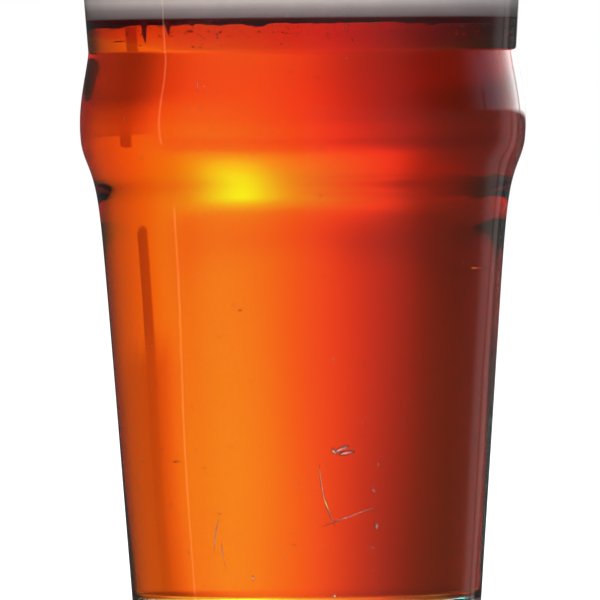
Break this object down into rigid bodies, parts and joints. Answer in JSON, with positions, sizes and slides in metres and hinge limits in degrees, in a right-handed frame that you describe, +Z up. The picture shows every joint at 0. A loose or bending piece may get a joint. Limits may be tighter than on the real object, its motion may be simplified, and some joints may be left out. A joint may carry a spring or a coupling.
{
  "type": "beer in a pint glass",
  "caption": "Tall conical drinking glass with a rounded bulge below its rim, filled with clear amber beer under a pale foam head.",
  "frame": {"origin": "middle of the ring that the glass stands on", "axes": "+Z up along the axis that the glass is turned about"},
  "size_m": [0.088, 0.088, 0.148],
  "materials": {
    "glass": "clear soda-lime glass, smooth and glossy",
    "beer": "clear amber liquid, smooth surface",
    "head": "fine wet foam, matt with small bubbles"
  },
  "bodies": {
    "root": {"glass": "glass", "beer": "beer", "head": "head"}
  },
  "joints": []
}
